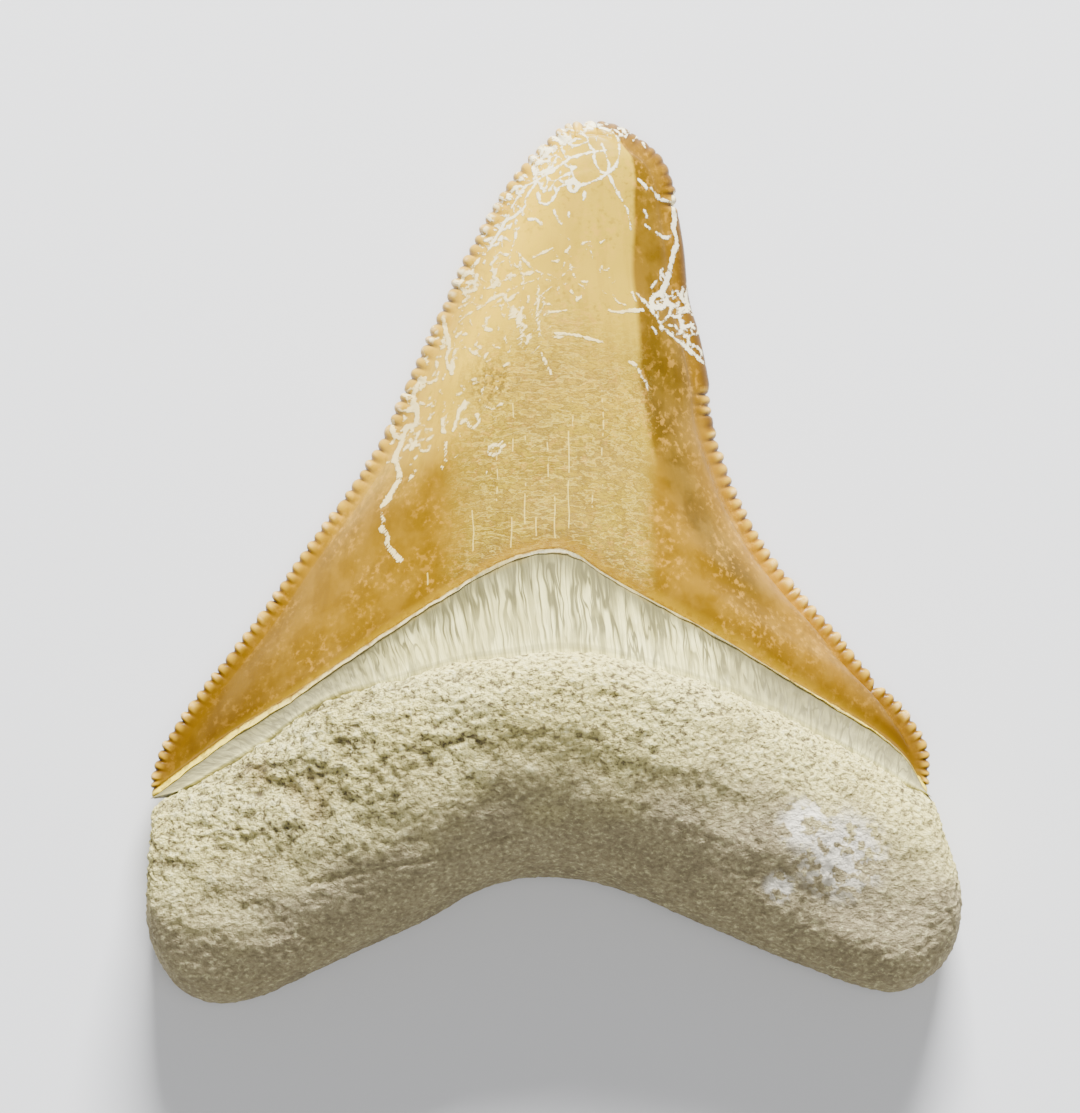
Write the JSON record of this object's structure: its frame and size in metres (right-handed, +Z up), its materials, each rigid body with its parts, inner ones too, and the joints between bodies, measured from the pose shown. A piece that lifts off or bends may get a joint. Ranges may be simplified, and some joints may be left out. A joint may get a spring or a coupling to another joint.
{
  "type": "megalodon tooth",
  "caption": "Fossil shark tooth with a triangular serrated enamel crown, a chevron dental band and a thick two-lobed root, lying on its flatter side.",
  "frame": {"origin": "middle of the tooth's outline on the surface that it lies on", "axes": "+Y from the root to the tip of the crown, +X across the tooth to the right as the rounded side is seen with the tip up, +Z up, out of the rounded side"},
  "size_m": [0.051, 0.0556, 0.0127],
  "materials": {
    "tooth": "satin",
    "enamel": "gloss",
    "dental_band": "satin",
    "root": "matte"
  },
  "bodies": {
    "root": {"tooth": "tooth"}
  },
  "joints": []
}
